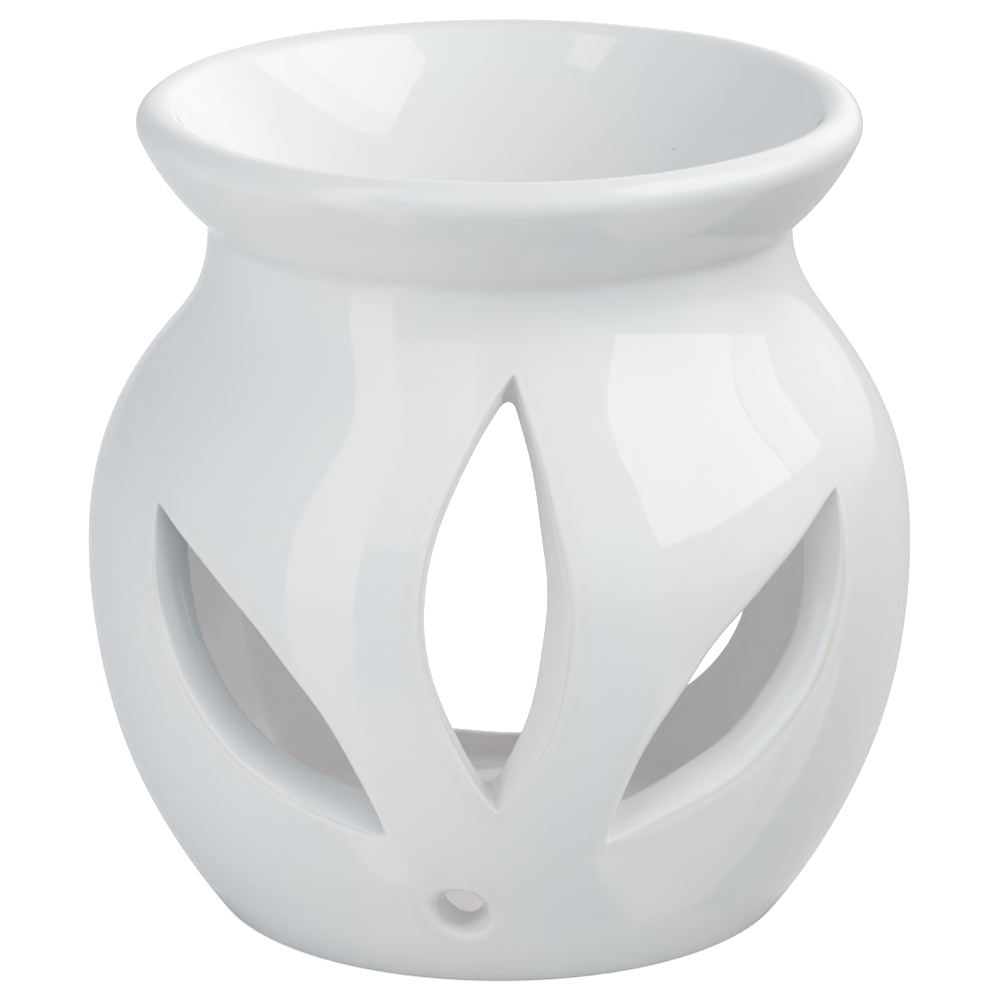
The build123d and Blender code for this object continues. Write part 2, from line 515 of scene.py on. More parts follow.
@dataclass(frozen=True)
class Cut:
    """Opening through the wall, with its own outlines on the outer and the inner surface."""

    outside: LeafShape | OvalShape
    inside: LeafShape | OvalShape
    rim: RimShape
    seed: int
    wander: float = 0.08
    shortest_wave: float = 11.0
    rim_steps: int = 15
    face_steps: int = 10
    crest_thin: float = 1.0
    crest_width: float = 0.12
    back_thin: float = 0.8
    back_width: float = 0.16
    # Painted shade on the middle of the cut's face: its strength, the heights over which it grows, and how it
    # spreads across the face
    painted_shade: float = 0.0
    shade_rise: Pair = (16.0, 48.0)
    shade_stretch: float = 1.6
    shade_delay: float = 0.45
    patch_mean: float = 0.75
    patch_swing: float = 0.2
    patch_limits: Pair = (0.25, 1.2)

    def corner(self, form: BulbForm, shape: LeafShape | OvalShape, inset: float) -> tuple[np.ndarray, ...]:
        """Lays one outline on the wall, a little unsteady as a hand-held knife cuts it.

        Args:
            form: The bulb.
            shape: The outline.
            inset: How far inside the outer surface it lies.

        Returns:
            The outline's points, the wall's outward normals, and the ways along it away from the opening.
        """
        flat = shape.flat()
        flat = flat + right_of(unit(chords(flat))) * self.wander * self._unsteady(flat, 0)[:, None]
        angle = math.radians(shape.azimuth)
        height = shape.height + flat[:, 1]
        radius = form.wall(height, inset)[0]
        aside, out = flat[:, 0], np.sqrt(radius**2 - flat[:, 0] ** 2)
        points = np.stack([aside * math.cos(angle) + out * math.sin(angle),
                           aside * math.sin(angle) + out * -math.cos(angle), height], axis=1)
        points, normals = form.laid(points, inset)
        return points, normals, unit(np.cross(unit(chords(points)), normals))

    def _unsteady(self, flat: np.ndarray, turn: int) -> np.ndarray:
        """Smooth uneven values along an outline, about one either way.

        Args:
            flat: The outline.
            turn: Which of several such rows of values.

        Returns:
            One value a point.
        """
        draw = np.random.default_rng(self.seed + 100 * turn)
        steps = np.linalg.norm(np.roll(flat, -1, axis=0) - flat, axis=1)
        share = (np.cumsum(steps) - steps) / steps.sum() * math.tau
        # From two waves round the outline up to as many as the shortest allows
        numbers = np.arange(2, max(4, int(steps.sum() / self.shortest_wave) + 1))
        waves = [draw.normal() * np.sin(number * share + draw.uniform(0, math.tau)) / number**0.5
                 for number in numbers]
        return np.sum(waves, axis=0) / math.sqrt((0.5 / numbers).sum())

    def strip(self, form: BulbForm, wall: float) -> tuple[np.ndarray, ...]:
        """Surface of the cut, from the outer surface over both rounded rims to the inner surface.

        Args:
            form: The bulb.
            wall: The wall's thickness.

        Returns:
            Points in rows round the opening, their normals, the share of thin glaze, the share of the
            inside's glaze, which is lighter as painted light, and the share of painted shade.
        """
        outer, outer_normal, outer_away = self.corner(form, self.outside, 0)
        inner, inner_normal, inner_away = self.corner(form, self.inside, wall)
        tips, outline = self.outside.tips(), self.outside.flat()
        # The rounding gets less near the tips, and the swell dies out there
        keep = 1 - (1 - self.rim.tip_share) * tips**6
        vary = 1 + self.rim.unevenness * np.clip(self._unsteady(outline, 1), -2, 2)
        width = np.linalg.norm(inner - outer, axis=1)
        across = unit(inner - outer)
        lift = unit((across * outer_away).sum(axis=1, keepdims=True) * across - outer_away)
        lift *= (4 * self.rim.swell * (1 - tips**4))[:, None]

        def face(share: np.ndarray) -> np.ndarray:
            """Points of the swelling face at a share of its width."""
            part = share[:, None]
            return outer * (1 - part) + inner * part + lift * part * (1 - part)

        first = self.rim.outer_depth * keep * vary / width
        last = 1 - self.rim.inner_depth * vary / width
        start = form.laid(outer + outer_away * (self.rim.outer_reach * keep * vary)[:, None], 0)[0]
        end = form.laid(inner + inner_away * (self.rim.inner_reach * vary)[:, None], wall)[0]
        edge, between = np.linspace(0, 1, self.rim_steps), np.linspace(0, 1, self.face_steps + 1)[1:-1]
        rows = [rounded(start, outer, face(first), share) for share in edge]
        rows += [face(first + (last - first) * share) for share in between]
        rows += [rounded(face(last), inner, end, share) for share in edge]
        points = np.stack(rows)
        normals = unit(np.cross(chords(points, axis=1), np.gradient(points, axis=0)))
        flip = np.sign((normals[0] * outer_normal).sum(axis=1))
        normals *= np.where(flip == 0, 1, flip)[None, :, None]
        normals[0], normals[-1] = outer_normal, -inner_normal
        inward = np.linspace(0, 1, len(points))[:, None]
        # Painted shade on the middle of the face, darker the higher up
        painted_shade = self.painted_shade * np.interp(points[..., 2], self.shade_rise, (0, 1))
        painted_shade *= np.sin(math.pi * np.clip(self.shade_stretch * inward - self.shade_delay, 0, 1))
        # The face takes more of the inside's lighter glaze, painted light, towards the inner edge
        return points, normals, self._thin(outline), inward**3, painted_shade

    def _thin(self, flat: np.ndarray) -> np.ndarray:
        """How thin the glaze has run off the two crests of the cut.

        Args:
            flat: The outer outline.

        Returns:
            One value from 0 to 1 for each point of each row.
        """
        last = 2 * self.rim_steps + self.face_steps - 2
        row = np.arange(last + 1, dtype=float)[:, None]
        middle = (self.rim_steps - 1) / 2
        crest = np.exp(-(((row - middle) / (self.crest_width * self.rim_steps)) ** 2))
        back_middle = last - middle
        back = self.back_thin * np.exp(-(((row - back_middle) / (self.back_width * self.rim_steps)) ** 2))
        patchy = np.clip(self.patch_mean + self.patch_swing * self._unsteady(flat, 2), *self.patch_limits)
        return np.clip(self.crest_thin * np.maximum(crest, back) * patchy[None, :], 0, 1)


class GlazeColour(Enum):
    """Colours of the ware, in linear light."""

    WHITE = (0.925, 0.92, 0.915)
    COOL = (0.89, 0.905, 0.91)
    # Dark blue-grey painted shade
    PAINTED_SHADE_TONE = (0.60, 0.645, 0.665)
    # The inside's glaze, lighter than the outer white as painted light that brightens the shaded inside
    INNER_PAINTED_LIGHT = (0.965, 0.945, 0.94)
    CREAM = (0.84, 0.77, 0.69)
    SPECK = (0.30, 0.25, 0.20)
    BISCUIT = (0.72, 0.64, 0.53)
    PALE_BISCUIT = (0.80, 0.74, 0.64)

    @property
    def rgba(self) -> tuple[float, ...]:
        """The colour with full alpha."""
        return (*self.value, 1.0)


def grey(level: float) -> tuple[float, ...]:
    """Grey with full alpha."""
    return (level, level, level, 1.0)


class NodeSheet:
    """Short way to place and link nodes in one tree."""

    def __init__(self, tree: bpy.types.NodeTree) -> None:
        """Takes the tree to work in."""
        self.tree = tree

    def add(self, kind: str, given: Given | None = None, **settings: object) -> bpy.types.Node:
        """Places a node.

        Args:
            kind: The node's type.
            given: Sockets or plain values for its inputs, by name or number.
            **settings: Values of its properties.

        Returns:
            The node.
        """
        node = self.tree.nodes.new(kind)
        for name, value in settings.items():
            setattr(node, name, value)
        self.feed(node, given or {})
        return node

    def feed(self, node: bpy.types.Node, given: Given) -> None:
        """Links inputs of a node to other sockets, or sets them to plain values.

        Args:
            node: The node.
            given: Sockets or plain values for its inputs, by name or number.
        """
        for name, value in given.items():
            if isinstance(value, bpy.types.NodeSocket):
                self.tree.links.new(value, node.inputs[name])
            else:
                node.inputs[name].default_value = value

    def place(self) -> bpy.types.NodeSocket:
        """Where on the object a point is, in metres."""
        return self.add("ShaderNodeTexCoord").outputs["Object"]

    def math(self, operation: str, *values: object, clamp: bool = False) -> bpy.types.NodeSocket:
        """Result of a math node, kept from 0 to 1 if clamped."""
        given = dict(enumerate(values))
        return self.add("ShaderNodeMath", given, operation=operation, use_clamp=clamp).outputs[0]

    def ramp(self, value: object, low: float, high: float, start: float = 0.0,
             end: float = 1.0) -> bpy.types.NodeSocket:
        """Value mapped smoothly from one range, low to high, to another, start to end."""
        given = {"Value": value, "From Min": low, "From Max": high, "To Min": start, "To Max": end}
        return self.add("ShaderNodeMapRange", given, interpolation_type="SMOOTHSTEP").outputs[0]

    def mix(self, share: object, first: object, second: object) -> bpy.types.NodeSocket:
        """Mixture of two colours with a share of the second."""
        return self.add("ShaderNodeMix", {"Factor": share, 6: first, 7: second}, data_type="RGBA").outputs[2]

    def noise(self, place: object, scale: float, detail: float) -> bpy.types.NodeSocket:
        """Cloudy pattern about one half, with so many clouds to the metre and so many finer layers."""
        return self.add("ShaderNodeTexNoise", {"Vector": place, "Scale": scale, "Detail": detail}).outputs[0]


class GlazeGroups:
    """Node groups that the finishes share: the glaze's colour, and its gloss and relief.

    The scales are patterns to the metre, the ranges are those of ramps, and the heights are in metres.
    """

    CLOUD_SCALE = 34.0
    CLOUD_RANGE = (0.35, 0.68)
    HAZE_SCALE = 60.0
    HAZE_RANGE = (0.3, 0.75, 0.0, 0.02)
    PIN_HOLE_SCALE = 95.0
    PIN_HOLE_SIZES = (0.012, 0.026)
    PIN_HOLE_EDGE = 2.2
    RIPPLE_SCALE = 210.0
    FOOT_EDGE_SCALE = 220.0
    RAGGED_SCALE = 300.0
    RAGGED_RANGE = (0.3, 0.7, 0.75, 1.1)
    CLAY_SCALE = 1500.0
    GRIT_SCALE = 3000.0
    FOOT_EDGE_RISE = 0.0001
    RELIEF = 0.00006
    DULL_WHERE_THIN = 0.16
    DULL_WHERE_BARE = 0.7
    SPECK_STRENGTH = 0.6

    def __init__(self) -> None:
        """Builds both groups once."""
        self.colour = self._colour()
        self.surface = self._surface()

    @staticmethod
    def _new(name: str, inputs: tuple[str, ...],
             outputs: dict[str, str]) -> tuple[NodeSheet, bpy.types.NodeOutputs, bpy.types.Node]:
        """Starts a shader node group.

        Args:
            name: Its name.
            inputs: Names of its inputs, which are all plain values.
            outputs: Kind of socket of each output.

        Returns:
            A sheet on the group, what its inputs give, and its output node.
        """
        group = bpy.data.node_groups.new(name, "ShaderNodeTree")
        for label in inputs:
            group.interface.new_socket(label, in_out="INPUT", socket_type="NodeSocketFloat")
        for label, kind in outputs.items():
            group.interface.new_socket(label, in_out="OUTPUT", socket_type=kind)
        sheet = NodeSheet(group)
        return sheet, sheet.add("NodeGroupInput").outputs, sheet.add("NodeGroupOutput")

    def _colour(self) -> bpy.types.NodeTree:
        """Glaze that clouds a little, is lighter inside as painted light and darker where painted shade is
        asked for, breaks to cream where it is thin, has pin holes, and stops at the foot.

        Returns:
            The group, with the colour and masks of the bare foot and the pin holes.
        """
        sheet, given, result = self._new(
            "Glaze colour",
            ("Thinness", "Inner painted light share", "Painted shade share", "Cloud share", "Pin holes", "Bare height"),
            {"Color": "NodeSocketColor", "Bare": "NodeSocketFloat", "Speck": "NodeSocketFloat"},
        )
        place = sheet.place()
        clouds = sheet.ramp(sheet.noise(place, self.CLOUD_SCALE, detail=3.0), *self.CLOUD_RANGE)
        clouds = sheet.math("MULTIPLY", clouds, given["Cloud share"])
        colour = sheet.mix(clouds, GlazeColour.WHITE.rgba, GlazeColour.COOL.rgba)
        # Painted light: the inside is lighter than the outer glaze
        colour = sheet.mix(given["Inner painted light share"], colour, GlazeColour.INNER_PAINTED_LIGHT.rgba)
        # Painted shade, mixed in where its mask asks for it
        colour = sheet.mix(given["Painted shade share"], colour, GlazeColour.PAINTED_SHADE_TONE.rgba)
        ragged = sheet.ramp(sheet.noise(place, self.RAGGED_SCALE, detail=2.0), *self.RAGGED_RANGE)
        thin = sheet.math("MULTIPLY", given["Thinness"], ragged, clamp=True)
        colour = sheet.mix(thin, colour, GlazeColour.CREAM.rgba)

        spread = {"Vector": place, "Scale": self.PIN_HOLE_SCALE}
        cells = sheet.add("ShaderNodeTexVoronoi", spread, feature="F1")
        pick = sheet.add("ShaderNodeSeparateColor", {0: cells.outputs["Color"]})
        rare = sheet.math("LESS_THAN", pick.outputs[0], given["Pin holes"])
        size = sheet.ramp(pick.outputs[1], 0.0, 1.0, *self.PIN_HOLE_SIZES)
        dot = sheet.math("SUBTRACT", 1.0, sheet.math("DIVIDE", cells.outputs["Distance"], size), clamp=True)
        dot = sheet.math("MULTIPLY", dot, self.PIN_HOLE_EDGE, clamp=True)
        speck = sheet.math("MULTIPLY", dot, rare)
        specks = sheet.math("MULTIPLY", speck, self.SPECK_STRENGTH)
        colour = sheet.mix(specks, colour, GlazeColour.SPECK.rgba)

        height = sheet.add("ShaderNodeSeparateXYZ", {0: place}).outputs[2]
        edge = sheet.noise(place, self.FOOT_EDGE_SCALE, detail=2.0)
        edge = sheet.math("MULTIPLY", edge, self.FOOT_EDGE_RISE)
        bare = sheet.math("LESS_THAN", height, sheet.math("ADD", given["Bare height"], edge))
        grain = sheet.noise(place, self.CLAY_SCALE, detail=3.0)
        clay = sheet.mix(grain, GlazeColour.BISCUIT.rgba, GlazeColour.PALE_BISCUIT.rgba)
        sheet.feed(result, {"Color": sheet.mix(bare, colour, clay), "Bare": bare, "Speck": speck})
        return sheet.tree

    def _surface(self) -> bpy.types.NodeTree:
        """Gloss that dulls on thin glaze and on bare clay, and the shallow relief of a fired glaze.

        Returns:
            The group, with a roughness and a height in metres.
        """
        sheet, given, result = self._new(
            "Glaze surface",
            ("Gloss", "Thinness", "Bare", "Speck", "Ripple"),
            {"Roughness": "NodeSocketFloat", "Height": "NodeSocketFloat"},
        )
        place = sheet.place()
        hazy = sheet.ramp(sheet.noise(place, self.HAZE_SCALE, detail=3.0), *self.HAZE_RANGE)
        rough = sheet.math("ADD", given["Gloss"], hazy)
        rough = sheet.math("ADD", rough, sheet.math("MULTIPLY", given["Thinness"], self.DULL_WHERE_THIN))
        bare = sheet.math("MULTIPLY", given["Bare"], self.DULL_WHERE_BARE)
        rough = sheet.math("ADD", rough, bare, clamp=True)

        ripple = sheet.math("MULTIPLY", sheet.noise(place, self.RIPPLE_SCALE, detail=1.0), given["Ripple"])
        grit = sheet.math("MULTIPLY", sheet.noise(place, self.GRIT_SCALE, detail=2.0), given["Bare"])
        grit = sheet.math("MULTIPLY", grit, self.RELIEF)
        dent = sheet.math("MULTIPLY", given["Speck"], -self.RELIEF)
        height = sheet.math("ADD", sheet.math("ADD", ripple, grit), dent)
        sheet.feed(result, {"Roughness": rough, "Height": height})
        return sheet.tree


@dataclass(frozen=True)
class GlazeFinish:
    """White gloss glaze on one casting."""

    slot: str
    cloud_share: float = 0.5
    pin_holes: float = 0.2
    gloss: float = 0.04
    ripple: float = 0.00002
    bare_height: float = -1.0
    refraction: float = 1.52

    def material(self, groups: GlazeGroups) -> bpy.types.Material:
        """Makes the material.

        Args:
            groups: The shared node groups.

        Returns:
            The material, named for its slot.
        """
        material = bpy.data.materials.new(self.slot)
        material.use_nodes = True
        sheet = NodeSheet(material.node_tree)
        thin, inner, painted_shade = (sheet.add("ShaderNodeAttribute", attribute_name=label).outputs["Fac"]
                               for label in GLAZE_LAYERS)
        colour = sheet.add("ShaderNodeGroup", {
            "Thinness": thin, "Inner painted light share": inner, "Painted shade share": painted_shade, "Cloud share": self.cloud_share,
            "Pin holes": self.pin_holes, "Bare height": self.bare_height}, node_tree=groups.colour).outputs
        surface = sheet.add("ShaderNodeGroup", {
            "Gloss": self.gloss, "Thinness": thin, "Bare": colour["Bare"], "Speck": colour["Speck"],
            "Ripple": self.ripple}, node_tree=groups.surface).outputs
        relief = sheet.add("ShaderNodeBump", {"Distance": 1.0, "Height": surface["Height"]})
        sheet.feed(material.node_tree.nodes["Principled BSDF"], {
            "Base Color": colour["Color"], "Roughness": surface["Roughness"],
            "Normal": relief.outputs["Normal"], "IOR": self.refraction})
        return material


@dataclass(kw_only=True)
class Casting(ABC):
    """Piece of ware that is turned about the axis from a half outline."""

    form: BulbForm
    finish: GlazeFinish
    node: str
    name: str
    around: int
    seam: float = 100.0
    hub: float = 1.0
    wall: float = 5.0
    edge_thin: float = 0.35

    @abstractmethod
    def build(self) -> Draft:
        """Mesh of the casting under construction."""

    def turn(self, points: np.ndarray, facing: np.ndarray) -> tuple[np.ndarray, np.ndarray, np.ndarray]:
        """Azimuths round the casting, and an outline's points and facings turned to them, in rows."""
        angle = math.radians(self.seam) - math.tau + np.arange(self.around) * math.tau / self.around
        return angle, turned(angle, points[:, :1], points[:, 1:]), turned(angle, facing[:, :1], facing[:, 1:])

    def place(self, groups: GlazeGroups, shaping: HandShaping) -> bpy.types.Object:
        """Makes the piece and lets it ride on the burner in place of its casting.

        Args:
            groups: The shared node groups.
            shaping: The ware's unevenness.

        Returns:
            The piece.
        """
        piece = self.build().piece(self.name, shaping, self.finish.material(groups))
        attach(piece, BODY)
        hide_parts(self.node)
        return piece


@dataclass(kw_only=True)
class PiercedBulb(Casting):
    """Bulb that shelters the tealight: a turned shell with leaf cut-outs, a back opening and an air hole."""

    floor: float
    node: str = "bulb_body"
    name: str = "glazed_bulb"
    around: int = 288
    foot_edge: float = 1.2
    floor_corner: float = 4.0
    spread: float = 0.75
    edge_fade: float = 1.1
    edge_zone: float = 6.0
    centre_leaf: Cut = Cut(
        LeafShape(0.98, 51.08, 2.37, 50.15, (13.90, 12.54), (12.86, 6.07), 0.6),
        LeafShape(-0.09, 50.03, 3.21, 44.51, (11.4, 11.3), (7.35, 6.24), 1.8),
        RimShape(0.8, 0.8, 0.8, 0.8, 0.1, 0.35), seed=11)
    # The left leaf's cut face carries painted shade
    left_leaf: Cut = Cut(
        LeafShape(-37.07, 39.52, -42.93, 48.49, (11.92, 14.18), (10.30, 6.47), 0.6),
        LeafShape(-36.33, 40.64, -46.21, 42.58, (11.57, 10.87), (10.30, 6.47), 1.8),
        RimShape(0.8, 0.8, 0.8, 0.8, 0.8, 0.35), seed=23, painted_shade=1.0)
    right_leaf: Cut = Cut(
        LeafShape(36.12, 40.04, 40.78, 49.98, (11.87, 6.43), (10.74, 15.28), 0.6),
        LeafShape(34.19, 40.47, 40.51, 43.92, (11.87, 6.43), (8.2, 13.4), 1.8),
        RimShape(1.3, 1.1, 0.8, 0.8, 0.7, 0.35), seed=37)
    back_opening: Cut = Cut(
        OvalShape(178.7, 29.5, 67.4, 49.0, 240),
        OvalShape(178.7, 29.8, 59.6, 45.2, 240),
        RimShape(1.4, 1.4, 2.2, 1.7, 0.2), seed=41, wander=0.15)
    air_hole: Cut = Cut(
        OvalShape(-6.3, 11.4, 6.6, 6.2, 72),
        OvalShape(-6.3, 11.6, 4.4, 4.2, 72),
        RimShape(1.3, 1.9, 0.8, 0.8), seed=53, wander=0.06, crest_thin=0.55)

    @property
    def cuts(self) -> tuple[Cut, ...]:
        """All openings."""
        return self.centre_leaf, self.left_leaf, self.right_leaf, self.back_opening, self.air_hole

    def outline(self) -> TurnedOutline:
        """Half outline, from the middle of the foot up the outside, over the seat and down to the floor.

        Returns:
            The outline.
        """
        form, wall = self.form, self.wall
        lower = form.lower_centre
        foot = self._corner_centre(0, self.foot_edge)
        floor = self._corner_centre(wall, self.floor_corner)
        foot_angle = math.atan2(foot[1] - lower[1], foot[0] - lower[0])
        floor_angle = math.atan2(floor[1] - lower[1], floor[0] - lower[0])
        outside = form.stretch(0, lower[1] + form.lower_radius * math.sin(foot_angle), steps=84)
        inside = form.stretch(wall, lower[1] + (form.lower_radius - wall) * math.sin(floor_angle), steps=64)
        neck, seat = form.neck_radius, form.seat_height
        drawn = TurnedOutline()
        drawn.line((self.hub, 0), (foot[0], 0), (0, -1), steps=14)
        drawn.arc(foot, self.foot_edge, -math.pi / 2, foot_angle, steps=6)
        drawn.curve(*outside)
        drawn.line((neck, seat), (neck - wall, seat), (0, 1), steps=3)
        drawn.curve(inside[0][::-1], -inside[1][::-1])
        drawn.arc(floor, self.floor_corner, floor_angle, -math.pi / 2, steps=8, hollow=True)
        drawn.line((floor[0], self.floor), (self.hub, self.floor), (0, 1), steps=14)
        return drawn

    def _corner_centre(self, inset: float, radius: float) -> Pair:
        """Centre of the rounding between the side, moved in by an inset, and the flat at its bottom.

        Args:
            inset: How far the side is moved in.
            radius: The rounding's radius.

        Returns:
            Its distance from the axis and its height.
        """
        height = radius + (self.floor if inset else 0)
        reach = self.form.lower_radius - inset - radius
        out = math.sqrt(reach**2 - (self.form.belly_height - height) ** 2)
        return self.form.lower_centre[0] + out, height

    def build(self) -> Draft:
        """Turns the shell and opens it.

        Returns:
            The mesh under construction.
        """
        draft = Draft()
        points, facing = self.outline().rows()
        angle, skin, normals = self.turn(points, facing)
        along = run_of(points)
        top = int(np.argmax(points[:, 1] + points[:, 0] * MM))
        flat = np.stack(np.broadcast_arrays(angle * self.form.bulb_radius, along[:, None]), axis=-1)

        loops: list[Loop] = []
        for cut in self.cuts:
            strip, *looks = cut.strip(self.form, self.wall)
            numbers = draft.add(strip, *looks)
            draft.weave(numbers)
            for row, side in ((0, slice(top)), (-1, slice(top + 1, None))):
                loops.append((numbers[row], self._unrolled(strip[row], angle[0], points[side], along[side])))

        gap = np.full(skin.shape[:2], np.inf)
        for _, loop in loops:
            low, high = loop.min(axis=0) - self.edge_zone, loop.max(axis=0) + self.edge_zone
            near = ((flat > low) & (flat < high)).all(axis=-1)
            gap[near] = np.minimum(gap[near], loop_distance(flat[near], loop))
        thin = self.edge_thin * np.exp(-((np.maximum(gap, 0) / self.edge_fade) ** 2))
        # The inner skin, past the top, takes the inside's lighter glaze as painted light
        numbers = draft.add(skin, normals, thin, np.arange(len(points))[:, None] > top)
        self._fill(draft, numbers, flat, gap, loops, steps_of(points) > SAME_PLACE)
        draft.close(numbers, points[:, 1])
        return draft

    def _unrolled(self, loop: np.ndarray, first: float, rows: np.ndarray, along: np.ndarray) -> np.ndarray:
        """Lays a loop on the wall out flat.

        Args:
            loop: Its points.
            first: The azimuth at which the unrolled skin starts.
            rows: Outline of the wall that it lies on.
            along: How far along the whole outline each of those rows is.

        Returns:
            Distances round the bulb and along its outline.
        """
        angle = first + np.mod(azimuth_of(loop) - first, math.tau)
        side = (rows[:, 0] > self.form.foot_radius - self.wall - self.floor_corner) & (rows[:, 1] > 0)
        order = np.argsort(rows[side, 1])
        height = np.interp(loop[:, 2], rows[side, 1][order], along[side][order])
        return np.stack([angle * self.form.bulb_radius, height], axis=1)

    def _fill(self, draft: Draft, numbers: np.ndarray, flat: np.ndarray, gap: np.ndarray, loops: list[Loop],
              real: np.ndarray) -> None:
        """Adds the skin's cells that are clear of the openings, and fits triangles in between.

        Args:
            draft: The mesh under construction.
            numbers: The skin's points, in rows.
            flat: Where they lie when the skin is unrolled.
            gap: How far they are from the nearest opening.
            loops: Point numbers and unrolled places of each opening's edge.
            real: Which steps between rows have any height.
        """
        near = gap < self.spread
        shut = near | np.roll(near, -1, axis=1)
        shut = shut[:-1] | shut[1:]
        draft.weave(numbers, ~shut & real[:, None])

        # The border of the cells left out, and the openings' edges, as links between points
        rows, columns = shut.shape
        none = np.zeros((1, columns), bool)
        level = np.argwhere(np.vstack([none, shut]) != np.vstack([shut, none]))
        upright = np.argwhere(shut != np.roll(shut, 1, axis=1))
        links = [((row, column), (row, (column + 1) % columns)) for row, column in level]
        links += [((row, column), (row + 1, column)) for row, column in upright]
        places: list[Pair] = []
        owner: list[int] = []
        local: dict[tuple[int, int], int] = {}
        edges: list[tuple[int, int]] = []
        for link in links:
            for spot in link:
                if spot not in local:
                    local[spot] = len(places)
                    places.append(tuple(flat[spot]))
                    owner.append(int(numbers[spot]))
            edges.append((local[link[0]], local[link[1]]))
        for loop_numbers, loop in loops:
            base = len(places)
            places += [tuple(place) for place in loop]
            owner += loop_numbers.tolist()
            edges += [(base + step, base + (step + 1) % len(loop)) for step in range(len(loop))]

        # Of the triangles between them, those on cells left out and clear of the openings
        found = delaunay_2d_cdt([Vector(place) for place in places], edges, [], 0, MERGE_GAP)
        corners = np.array([source[0] for source in found[3]])
        triangles = corners[np.array(found[2])]
        middle = np.array(places)[triangles].mean(axis=1)
        row = np.clip(np.searchsorted(flat[:, 0, 1], middle[:, 1], side="right") - 1, 0, rows - 1)
        column = ((middle[:, 0] - flat[0, 0, 0]) / (flat[0, 1, 0] - flat[0, 0, 0])).astype(int)
        fits = (column >= 0) & (column < columns)
        fits &= shut[row, np.clip(column, 0, columns - 1)]
        for _, loop in loops:
            low, high = loop.min(axis=0), loop.max(axis=0)
            inside = np.flatnonzero(fits & ((middle > low) & (middle < high)).all(axis=1))
            fits[inside[loop_distance(middle[inside], loop) < 0]] = False
        draft.faces.append(np.array(owner)[triangles[fits]])


@dataclass(kw_only=True)
class OilDish(Casting):
    """Dish for water and oil: a round bowl with a rolled lip and a flared wall, on the bulb's seat."""

    lip_reach: float
    lip_top: float
    node: str = "oil_dish"
    name: str = "glazed_dish"
    around: int = 640
    lip_radius: float = 2.6
    lip_inner_radius: float = 2.6
    neck_corner: float = 2.5
    flare_radius: float = 28.8
    bowl_depth: float = 22.0
    bowl_thickness: float = 5.0
    spigot_depth: float = 2.2
    spigot_clearance: float = 0.3
    # Faint painted shade over the whole inside of the bowl
    bowl_painted_shade: float = 0.07
    crest_lean: float = 0.2
    crest_width: float = 0.25

    def outline(self) -> TurnedOutline:
        """Half outline, from the middle of the underside out to the lip and back to the middle of the bowl.

        Returns:
            The outline.
        """
        seat, neck = self.form.seat_height, self.form.neck_radius
        lip = np.array([self.lip_reach - self.lip_radius, self.lip_top - self.lip_radius])
        corner = np.array([neck + self.neck_corner, seat])
        swell = self._swell(corner, lip)
        corner_angle = math.atan2(swell[1] - corner[1], swell[0] - corner[0])
        flare_start = math.atan2(corner[1] - swell[1], corner[0] - swell[0])
        flare_end = math.atan2(lip[1] - swell[1], lip[0] - swell[0])

        # The bowl is part of a ball that touches the rounding inside the lip and the bowl's lowest point
        bottom = self.lip_top - self.bowl_depth
        inner = np.array([lip[0], self.lip_top - self.lip_inner_radius])
        reach = bottom - self.lip_inner_radius
        ball = (inner @ inner - reach**2) / (2 * (inner[1] - reach))
        to_lip = math.atan2(ball - inner[1], inner[0])

        spigot = neck - self.wall - self.spigot_clearance
        spigot_foot = seat - self.spigot_depth
        under = bottom - self.bowl_thickness
        rise = spigot_foot - under
        under_radius = (spigot**2 + rise**2) / (2 * rise)
        under_angle = math.asin(spigot / under_radius)
        down, up = -math.pi / 2, math.pi / 2
        drawn = TurnedOutline()
        under_start, bowl_end = self.hub / under_radius + down, self.hub / (ball - bottom) + down
        drawn.arc((0, under + under_radius), under_radius, under_start, under_angle + down, steps=14)
        drawn.line((spigot, spigot_foot), (spigot, seat), (1, 0), steps=2)
        drawn.line((spigot, seat), (neck, seat), (0, -1), steps=3)
        drawn.arc(tuple(corner), self.neck_corner, math.pi, corner_angle, steps=10, hollow=True)
        drawn.arc(tuple(swell), self.flare_radius, flare_start, flare_end, steps=18)
        drawn.arc(tuple(lip), self.lip_radius, flare_end, up, steps=22)
        drawn.arc(tuple(inner), self.lip_inner_radius, up, math.pi - to_lip, steps=28)
        drawn.arc((0, ball), ball - bottom, -to_lip, bowl_end, steps=40, hollow=True)
        return drawn

    def _swell(self, corner: np.ndarray, lip: np.ndarray) -> np.ndarray:
        """Centre of the flare, which touches the hollow corner from outside and the lip from inside.

        Args:
            corner: Centre of the hollow corner.
            lip: Centre of the lip.

        Returns:
            The flare's centre, on the axis side of both.
        """
        near, far = self.flare_radius + self.neck_corner, self.flare_radius - self.lip_radius
        gap = lip - corner
        apart = float(np.hypot(*gap))
        along = (near**2 - far**2 + apart**2) / (2 * apart)
        aside = math.sqrt(near**2 - along**2)
        way = gap / apart
        return corner + way * along + np.array([-way[1], way[0]]) * aside

    def build(self) -> Draft:
        """Turns the dish.

        Returns:
            The mesh under construction.
        """
        draft = Draft()
        points, facing = self.outline().rows()
        _, skin, normals = self.turn(points, facing)
        crest = np.exp(-(((facing[:, 0] + self.crest_lean) / self.crest_width) ** 2))
        crest *= (facing[:, 1] > 0) & (points[:, 1] > self.lip_top - self.lip_radius)
        # Faint painted shade on the bowl, past the lip's top
        bowl = self.bowl_painted_shade * (np.arange(len(points)) > np.argmax(points[:, 1]))
        numbers = draft.add(skin, normals, self.edge_thin * crest[:, None], painted_shade=bowl[:, None])
        draft.weave(numbers, (steps_of(points) > SAME_PLACE)[:, None])
        draft.close(numbers, points[:, 1])
        return draft


def toward(azimuth: float, elevation: float) -> Vector:
    """Direction from the burner at an azimuth and an elevation in degrees."""
    side, rise = math.radians(azimuth), math.radians(elevation)
    return Vector((math.sin(side) * math.cos(rise), -math.cos(side) * math.cos(rise), math.sin(rise)))


